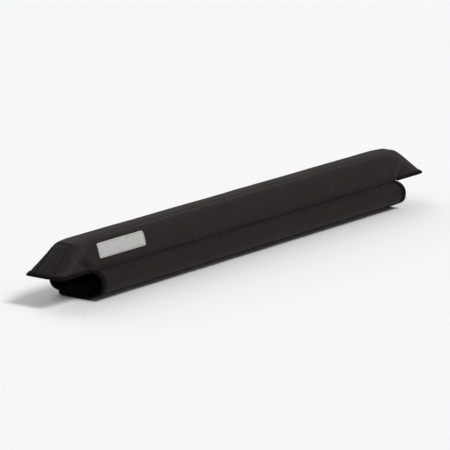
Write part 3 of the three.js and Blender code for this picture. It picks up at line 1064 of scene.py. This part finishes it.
def sway_of(drag, ripple, pulled):
    """A wrap's unevenness and its roll inwards at the seam. drag and ripple are each a slant, a
    length and a seed; pulled is 1 for the wrap that the closure pulls on, or else 0."""
    def sway(x, s):
        drags, ripples = (slow_wave(x + slant * s, scale, seed) for slant, scale, seed in (drag, ripple))
        free = smooth(0, 9, s) * smooth(46, 26, s)
        lower = smooth(26, 40, s) * smooth(64, 48, s)
        pull = bell(abs(x) - 306, 16) * smooth(0, 14, s)
        uneven = free * (0.30 * drags + 0.12 * ripples - 0.25 * pulled * pull)
        return uneven + 0.12 * pulled * lower * drags - 1.2 * bell(s, 4.2)

    return sway


seam_point = (-BASE_WIDTH / 2, 0.0)
edge_from_centre = STRIP_WIDTH / 2 + STRIP_NEAR
clearance = BINDING_REACH + GAP + WRAP_FABRIC
stack = GAP + STRIP_THICKNESS + GAP + WRAP_FABRIC + GAP + STRIP_THICKNESS
rear_path = taut_path(seam_point, bar_outline(clearance), edge_from_centre - CLOSURE_CENTRE)


def front_enclosed():
    """What the front wrap goes round: the bar, and the stack of the rear wrap and both strips."""
    flap = rear_path * [-1, 1]
    flap[-1] += unit(flap[-1] - flap[-2]) * BINDING_REACH
    back = flap[::-1]
    outer = offset_line(back[walk(back) < 2 * STRIP_FAR], stack)
    return np.concatenate([bar_outline(clearance), outer[outer[:, 1] < -BAR_HEIGHT / 2]])


front_path = taut_path(seam_point, front_enclosed(), edge_from_centre + CLOSURE_CENTRE)
front_cloth = Cloth(front_path, 1, sway_of((2.2, 34, 1), (-1.1, 15, 5), 1))
rear_cloth = Cloth(rear_path, -1, sway_of((1.7, 37, 3), (-1.4, 17, 8), 0))


# A sheet's cells along the pad and down the wrap, and how far in a strip's seam lies
CLOTH_CELL = (3.0, 2.4)
STRIP_SEAM_INSET = 2.2


def sheet_mesh(name, cloth, material, x_half, span, off, corner=0.0, tuck=()):
    """A piece of cloth on a wrap's surface: span is where it starts and ends, off is its outer and
    inner face's height. tuck gives rows before it: (s, the outer face's y and z, the inner face's)."""
    rows = np.linspace(*span, max(2, round((span[1] - span[0]) / CLOTH_CELL[1])) + 1)
    rows = np.concatenate([[row[0] for row in tuck], rows])
    across = np.linspace(-x_half, x_half, round(2 * x_half / CLOTH_CELL[0]) + 1)
    x, s = np.meshgrid(across, rows, indexing="ij")
    if corner:
        x, s = round_corners(x, s, x_half, span[1], corner)
    faces = [cloth.place(x, s, h) for h in off]
    for k, face in enumerate(faces):
        for row, turned in enumerate(tuck):
            face[:, row, 1:] = np.array(turned[k + 1]) * [cloth.side, 1]
    return layered(name, *faces, np.stack([x, s], -1), material)


def bound_edge(length, from_s):
    """The bound edge in the cloth's flat: points and inward directions, from one seam end to the other."""
    x_half, corner = WRAP_HALF, FREE_CORNER
    left = [((-x_half, s), (1, 0)) for s in np.arange(from_s, length - corner, 3.0)]
    for a in np.radians(np.linspace(0, 90, 8)):
        way = (math.cos(a), -math.sin(a))
        left.append(((-x_half + corner - corner * way[0], length - corner - corner * way[1]), way))
    bottom = np.linspace(-x_half + corner, x_half - corner, 200)[1:-1]
    right = [((-p[0], p[1]), (-way[0], way[1])) for p, way in left[::-1]]
    return left + [((x, length), (0, -1)) for x in bottom] + right


# Binding's section: how far in from the edge, and off the wrap's outer face
TAPE_SECTION = (
    (7.5, 0.32), (7.55, 0.62), (7.3, 0.9), (6.6, 0.86), (5.9, 0.68), (5.2, 0.86), (4.4, 0.97),
    (3.0, 1.0), (1.6, 1.0), (0.5, 0.98), (-0.4, 0.78), (-0.88, 0.3), (-1.0, -0.6), (-0.88, -1.5),
    (-0.4, -1.98), (0.5, -2.2), (1.6, -2.23), (3.0, -2.2), (4.4, -2.17), (5.2, -2.06),
    (5.9, -1.88), (6.6, -2.06), (7.3, -2.1), (7.55, -1.82), (7.5, -1.52), (5.5, -1.5),
    (2.0, -1.5), (0.2, -1.48), (-0.28, -1.1), (-0.32, -0.6), (-0.28, -0.1), (0.2, 0.28),
    (2.0, 0.3), (5.5, 0.3),
)
TAPE_START = 0.35
STITCH_INSET = 5.9
STITCH_SUNK = 0.68


def wrap_binding(side, cloth):
    """One tape folded over a wrap's three cut edges."""
    sections = []
    inward, off = np.array(TAPE_SECTION).T
    edge = bound_edge(cloth.length, TAPE_START)
    for (x, s), (ix, js) in edge:
        waver = 0.12 * float(slow_wave(x + 1.7 * s, 11, 6))
        d = np.where(inward > 5, inward + waver, inward)
        sections.append(cloth.place(x + d * ix, np.maximum(s + d * js, TAPE_START), off))
    return sweep(side + "_wrap_tape", np.array(sections), walk([p for p, _ in edge]))


def cloth_row(cloth, flat_points, h):
    """A stitch row on a wrap, from points in its flat, looking out or in as its height h says."""
    x, s = evenly(flat_points, 600).T
    return along_line(cloth.place(x, s, h), cloth.normal(x, s) * (1 if h >= -0.2 else -1))


def binding_rows(cloth):
    """The binding's stitches on the wrap's outer and inner face."""
    edge = bound_edge(cloth.length, 1.5)
    flat = [(p[0] + STITCH_INSET * d[0], p[1] + STITCH_INSET * d[1]) for p, d in edge]
    return [cloth_row(cloth, flat, h) for h in (STITCH_SUNK, -WRAP_FABRIC - STITCH_SUNK)]


def strip_rows(cloth, h):
    """The closure strip's seam as it shows on the wrap's far face: a long rectangle."""
    near = cloth.length - STRIP_NEAR - STRIP_SEAM_INSET
    far = cloth.length - STRIP_FAR + STRIP_SEAM_INSET
    end = STRIP_HALF - STRIP_SEAM_INSET
    corners = [(-end, near), (end, near), (end, far), (-end, far), (-end, near)]
    return [cloth_row(cloth, pair, h) for pair in zip(corners[:-1], corners[1:])]


def closure_strip(name, cloth, material, *off):
    span = (cloth.length - STRIP_FAR, cloth.length - STRIP_NEAR)
    return sheet_mesh(name, cloth, material, STRIP_HALF, span, off)


# A wrap's top edge turns in and runs up behind the cover's to the backing cloth, where they are sewn
TUCK = ((-2.2, (-26.3, 0.28), (-25.6, 0.28)), (-1.4, (-26.5, -0.25), (-25.65, -0.7)),
        (-0.6, (-26.85, -0.8), (-26.0, -1.6)), (0.1, (-27.55, -1.16), (-26.8, -2.15)))
WRAP_START = 0.9


def make_wrap(side, cloth):
    span, off = (WRAP_START, cloth.length), (0.0, -WRAP_FABRIC)
    wrap = sheet_mesh(side + "_wrap_cloth", cloth, COVER, WRAP_HALF, span, off, FREE_CORNER, TUCK)
    add_wear_and_painted_light(wrap, np.zeros(len(wrap.data.vertices)))
    return wrap


wraps = (("front", front_cloth), ("rear", rear_cloth))
front_wrap, rear_wrap = (make_wrap(*wrap) for wrap in wraps)
front_tape, rear_tape = (wrap_binding(*wrap) for wrap in wraps)
hook = closure_strip("hook_strip_tape", front_cloth, hook_material(), -WRAP_FABRIC - GAP,
                     -WRAP_FABRIC - GAP - STRIP_THICKNESS)
loop = closure_strip("loop_strip_tape", rear_cloth, loop_material(), GAP + STRIP_THICKNESS, GAP)
front_stitches, rear_stitches = (
    stitches(side + "_binding_stitches", binding_rows(cloth)) for side, cloth in wraps)
closure_stitches = stitches("closure_stitches", strip_rows(front_cloth, 0.05)
                            + strip_rows(rear_cloth, -WRAP_FABRIC - 0.05))


# Base, hem, patch and foam

inside_cover = Form(COVER_FABRIC + GAP)


def make_base():
    """The backing cloth under the foam, with rounded edges."""
    low, high, edge = GAP, GAP + BASE_FABRIC, 0.4
    levels = ((low, edge), (low + edge, 0.0), (high - edge, 0.0), (high, edge))
    rings = [grid.ring(Form(COVER_FABRIC + GAP + draw_in), low, z) for z, draw_in in levels]
    points = [p for ring in rings for p in ring]
    faces = [face for r in range(len(rings) - 1) for face in band(r * grid.count, grid.count)]
    uvs = [points[corner][:2] for face in faces for corner in face]
    for r, up in ((0, False), (len(rings) - 1, True)):
        for face, places in grid.fill(rings[r], r * grid.count, up, points):
            faces.append(face)
            uvs.extend(places)
    return outward(add_mesh("base_cloth", points, faces, BASE, uvs))


DOT_PITCH = (7.0, 6.0)
DOT_RADIUS = 1.35
DOT_SIDES = 10
# How far the dots keep from the sides and corners, and from the ends
DOT_CLEAR, DOT_END_CLEAR = 4, 8
# A dot's rings: share of its radius, and height in shares of the gap under the base
DOT_RINGS = ((1.0, 0.02 / GAP), (0.86, -0.55), (0.5, -0.9))


def make_dots():
    """Low domes of rubber in staggered rows under the base."""
    points, faces = [], []
    form, sides = inside_cover, DOT_SIDES
    turns = 2 * math.pi * np.arange(sides) / sides
    corner_x, corner_y, _, _ = form.corner(GAP)
    rows = int((form.half_width - DOT_CLEAR) // DOT_PITCH[1])
    columns = int((form.half_length - DOT_END_CLEAR) // DOT_PITCH[0])
    for row in range(-rows, rows + 1):
        for column in range(-columns, columns + 1):
            x, y = (column + (row % 2) / 2) * DOT_PITCH[0], row * DOT_PITCH[1]
            if abs(x) > corner_x - DOT_CLEAR and abs(y) > corner_y - DOT_CLEAR:
                continue
            first = len(points)
            for share, height in DOT_RINGS:
                reach = DOT_RADIUS * share
                points += [(x + reach * math.cos(a), y + reach * math.sin(a), GAP * (1 + height))
                           for a in turns]
            points.append((x, y, 0))
            faces += band(first, sides) + band(first + sides, sides)
            rim, tip = first + 2 * sides, first + 3 * sides
            faces += [(rim + s, tip, rim + (s + 1) % sides) for s in range(sides)]
            faces.append(tuple(range(first, first + sides)))
    return outward(add_mesh("grip_dots", points, faces, rubber_material()))


def hem_line(x_sign, z):
    """The cover's lower edge round one end, from notch to notch, and the way out at each point."""
    x, y, along, across = TRUE.corner(z)
    straight = np.stack([np.linspace(NOTCH + 1.2, x, 16), np.full(16, y + across)], 1)
    corner = corner_curve(TRUE, z, 90, 0, 12)[1:]
    end = np.stack([np.full(12, x + along), np.linspace(y, -y, 14)[1:-1]], 1)
    back = [corner[::-1] * [1, -1], straight[::-1] * [1, -1]]
    line = np.concatenate([straight, corner, end, *back])
    way = unit(np.gradient(line, axis=0))
    outwards = np.column_stack([-x_sign * way[:, 1], way[:, 0], np.zeros(len(line))])
    return np.column_stack([x_sign * line[:, 0], line[:, 1], np.full(len(line), z)]), outwards


def evened(rows):
    """Each row averaged with the two before and the two after it; the first and last rows stay."""
    padded = np.concatenate([rows[:1], rows[:1], rows, rows[-1:], rows[-1:]])
    weights = np.array([1, 2, 3, 2, 1]) / 9
    eased = sum(k * padded[i : i + len(rows)] for i, k in enumerate(weights))
    eased[0], eased[-1] = rows[0], rows[-1]
    return eased


# The hem tape's section. On the cover: share of its rise, and lift off the cloth in shares of
# HEM_LIFT. Under the edge: how far in, and the height. Inside: how far in, and how far up.
HEM_OUTSIDE = ((1.0, 0.1), (1.0, 0.6), (0.92, 0.9), (0.6, 1.0), (0.3, 1.15), (0.1, 1.3))
HEM_UNDER = ((-0.1, -0.2), (0.35, -0.75), (1.1, -1.0), (2.2, -0.8), (3.0, 0.1))
HEM_INSIDE = ((0.9, 0.25), (0.6, 2.0))


def hem_sections(x_sign):
    """Sections of the tape folded over the cover's lower edge, round an overhanging end."""
    low, outwards = hem_line(x_sign, GAP)
    high, _ = hem_line(x_sign, GAP + HEM_RISE)
    sections = []
    for base, upper, way in zip(low, high, outwards):
        section = []
        for share, lift in HEM_OUTSIDE:
            found, normal = on_cover(lerp(base, upper, share), -way)
            section.append(found + normal * lift * HEM_LIFT)
        outer = section[-1]
        section += [np.array([*(outer - way * inward)[:2], height]) for inward, height in HEM_UNDER]
        section += [base - way * inward + [0, 0, height] for inward, height in HEM_INSIDE]
        sections.append(section)
    return evened(evened(np.array(sections))), outwards


def hem_row(sections, outwards):
    """The hem's stitches, near its upper edge."""
    row = lerp(sections[:, 2], sections[:, 3], 0.35)
    normals = unit(np.cross(np.gradient(row, axis=0), sections[:, 3] - sections[:, 2]))
    return along_line(row, normals * np.sign((normals * outwards).sum(1, keepdims=True)))


def patch_place(x, v, lift):
    """A point on the leading side under the patch's flat, lifted off the cover."""
    up = PATCH_RISE + v
    lean, rise = math.sin(SIDE_LEAN), math.cos(SIDE_LEAN)
    return on_cover((PATCH_CENTRE + x, -BASE_WIDTH / 2 + up * lean, up * rise), (0, rise, -lean), lift)


def make_patch():
    """The pale patch, laid on the cover's leading side, with its edge turned down."""
    half_x, half_y = PATCH_LENGTH / 2, PATCH_WIDTH / 2
    x, v = np.meshgrid(np.linspace(-half_x, half_x, 63), np.linspace(-half_y, half_y, 17), indexing="ij")
    x, v = round_corners(x, v, half_x, half_y, PATCH_ROUND)
    edge = np.minimum(half_x - abs(x), half_y - abs(v))
    height = np.where(edge < 0.8, 0.32, 0.55) - 0.16 * bell(edge - PATCH_SEAM_INSET, 0.55)

    def laid(lift):
        found = [patch_place(*at)[0] for at in zip(x.flat, v.flat, lift.flat)]
        return np.array(found).reshape(*x.shape, 3)

    return layered("reflective_patch_cloth", laid(height), laid(np.full(x.shape, 0.06)),
                   np.stack([x, v], -1), reflective_material())


def patch_row():
    """The patch's stitches, just inside its edge."""
    corner = PATCH_SEAM_CORNER
    half_x, half_y = (size / 2 - PATCH_SEAM_INSET - corner for size in (PATCH_LENGTH, PATCH_WIDTH))
    flat = []
    for k, (x_sign, y_sign) in enumerate(((1, 1), (-1, 1), (-1, -1), (1, -1))):
        for a in np.radians(np.linspace(90 * k, 90 * k + 90, 5)):
            flat.append((x_sign * half_x + corner * math.cos(a), y_sign * half_y + corner * math.sin(a)))
    return along_line(*zip(*(patch_place(x, v, 0.42) for x, v in evenly([*flat, flat[0]], 260))))


def row_on_cover(places, towards):
    """A stitch row where rays from the places meet the cover."""
    return along_line(*zip(*(on_cover(place, towards, 0.02) for place in places)))


def seam_rows():
    """Stitches beside the end panels' seams, on the cover's side of them."""
    top = TRUE.seam_top()
    heights, half = np.linspace(HEM_RISE + 1.6, top - 1.0, 30), TRUE.seam_half(top) + 0.5
    rows = []
    for x_sign in (-1, 1):
        inwards = (-x_sign * math.cos(END_LEAN), 0, -math.sin(END_LEAN))
        for y_sign in (-1, 1):
            rows.append(row_on_cover([(x_sign * TRUE.end(z), y_sign * (TRUE.seam_half(z) + 2.3), z)
                                      for z in heights], inwards))
        rows.append(row_on_cover([(x_sign * (TRUE.end(top) - 2.0), y, top + 1.5)
                                  for y in np.linspace(-half, half, 16)], inwards))
    return rows


def base_rows():
    """Stitches just above the seam where each wrap is sewn to the cover."""
    along = np.linspace(-NOTCH + 3, NOTCH - 3, 420)
    return [row_on_cover([(x, side * BASE_WIDTH / 2, BASE_ROW_RISE) for x in along], (0, -side, 0))
            for side in (-1, 1)]


def make_foam():
    """The foam block, with its foot on the base and the cover's folds pressed into it."""
    coarse = Grid(FOAM_INSET, step=14.0, fine=6.0, ring_step=7.0, cells=(2, 2, 2))
    points = coarse.points.copy()
    low = BASE_FABRIC + 2 * GAP
    points[:, 2] = np.maximum(points[:, 2], low)
    foot = points[:, 2] <= low + 0.01
    points[foot, :2] *= 1 - np.array(FOAM_FOOT) / (PAD_LENGTH / 2, BASE_WIDTH / 2)
    block = outward(add_mesh("foam_block", points, coarse.faces, foam_material(), coarse.uvs))
    pressed = np.minimum(0, notch_folds(points, normals_of(block)))
    points[:, 1] += np.sign(points[:, 1]) * pressed
    put_points(block, points)
    return block


base = make_base()
dots = make_dots()
hems = {name: hem_sections(x_sign) for name, x_sign in (("left_hem", -1), ("right_hem", 1))}
left_hem, right_hem = (sweep(name, sections) for name, (sections, _) in hems.items())
hem_stitches = stitches("hem_stitches", [hem_row(*hem) for hem in hems.values()])
patch = make_patch()
patch_stitches = stitches("patch_stitches", [patch_row()], length=2.2, space=0.8, radius=0.22)
panel_stitches = stitches("panel_stitches", seam_rows(), length=2.8, space=1.0, radius=0.26)
base_stitches = stitches("base_seam_stitches", base_rows())
foam = make_foam()
for piece in (cover_top, cover_left, cover_right):
    thicken(piece, SKIN)


# What the frame needs to know

for piece, slot, node in (
        (cover_top, "cover_fabric", "top_cover"), (cover_left, "cover_fabric", "left_end_panel"),
        (cover_right, "cover_fabric", "right_end_panel"), (foam, "foam", "foam_core"),
        (base, "base_fabric", "base_panel"), (dots, "base_fabric", None),
        (front_wrap, "cover_fabric", "front_wrap"), (rear_wrap, "cover_fabric", "rear_wrap"),
        (front_tape, "binding_tape", "front_wrap_binding"),
        (rear_tape, "binding_tape", "rear_wrap_binding"),
        (hook, "hook_tape", "hook_strip"), (loop, "loop_tape", "loop_strip"),
        (patch, "reflective_fabric", "reflective_patch"),
        *((piece, "binding_tape", None) for piece in (
            left_hem, right_hem, hem_stitches, patch_stitches, panel_stitches, base_stitches,
            front_stitches, rear_stitches, closure_stitches))):
    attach(piece, "root")
    if node:
        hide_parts(node)


# Studio


def make_floor():
    mesh = bpy.data.meshes.new("floor")
    corners = [(x * FLOOR_HALF, y * FLOOR_HALF, 0) for x, y in ((-1, -1), (1, -1), (1, 1), (-1, 1))]
    mesh.from_pydata(corners, [], [(0, 1, 2, 3)])
    mesh.materials.append(floor_material())
    add_object("floor", mesh)


def lamp(name, azimuth, elevation, strength, softness):
    """A sun: azimuth 0 is on the -Y side, and -90 on the -X side."""
    data = bpy.data.lights.new(name, "SUN")
    data.energy = strength
    data.angle = math.radians(softness)
    a, e = math.radians(azimuth), math.radians(elevation)
    towards = Vector((math.sin(a) * math.cos(e), -math.cos(a) * math.cos(e), math.sin(e)))
    add_object(name, data).rotation_euler = towards.to_track_quat("Z", "Y").to_euler()


def make_world():
    """Even light, and a near white where the camera sees it."""
    world = bpy.data.worlds.new("studio")
    world.use_nodes = True
    tree = world.node_tree
    level = tree.nodes.new("ShaderNodeMapRange")
    path = tree.nodes.new("ShaderNodeLightPath")
    tree.links.new(path.outputs["Is Camera Ray"], level.inputs[0])
    level.inputs[3].default_value = WORLD_LIGHT
    level.inputs[4].default_value = WORLD_SEEN
    background = tree.nodes["Background"].inputs
    tree.links.new(level.outputs[0], background["Strength"])
    background["Color"].default_value = (1.0, 1.0, 1.0, 1)
    bpy.context.scene.world = world


def make_camera():
    """At the photograph's place, with the pad in the middle of the view."""
    data = bpy.data.cameras.new("camera")
    data.sensor_width = 36
    data.lens = CAMERA_LENS
    data.clip_start, data.clip_end = 0.1, 60
    camera = add_object("camera", data)
    camera.location = CAMERA_PLACE
    look = (Vector(CAMERA_AIM) - Vector(CAMERA_PLACE)).normalized().to_track_quat("-Z", "Y")
    roll = Matrix.Rotation(math.radians(CAMERA_ROLL), 3, "Z").to_quaternion()
    camera.rotation_mode = "QUATERNION"
    camera.rotation_quaternion = look @ roll
    bpy.context.scene.camera = camera


make_floor()
make_world()
for name, setting in LAMPS.items():
    lamp(name, *setting)
make_camera()
bpy.context.scene.view_settings.view_transform = "Standard"
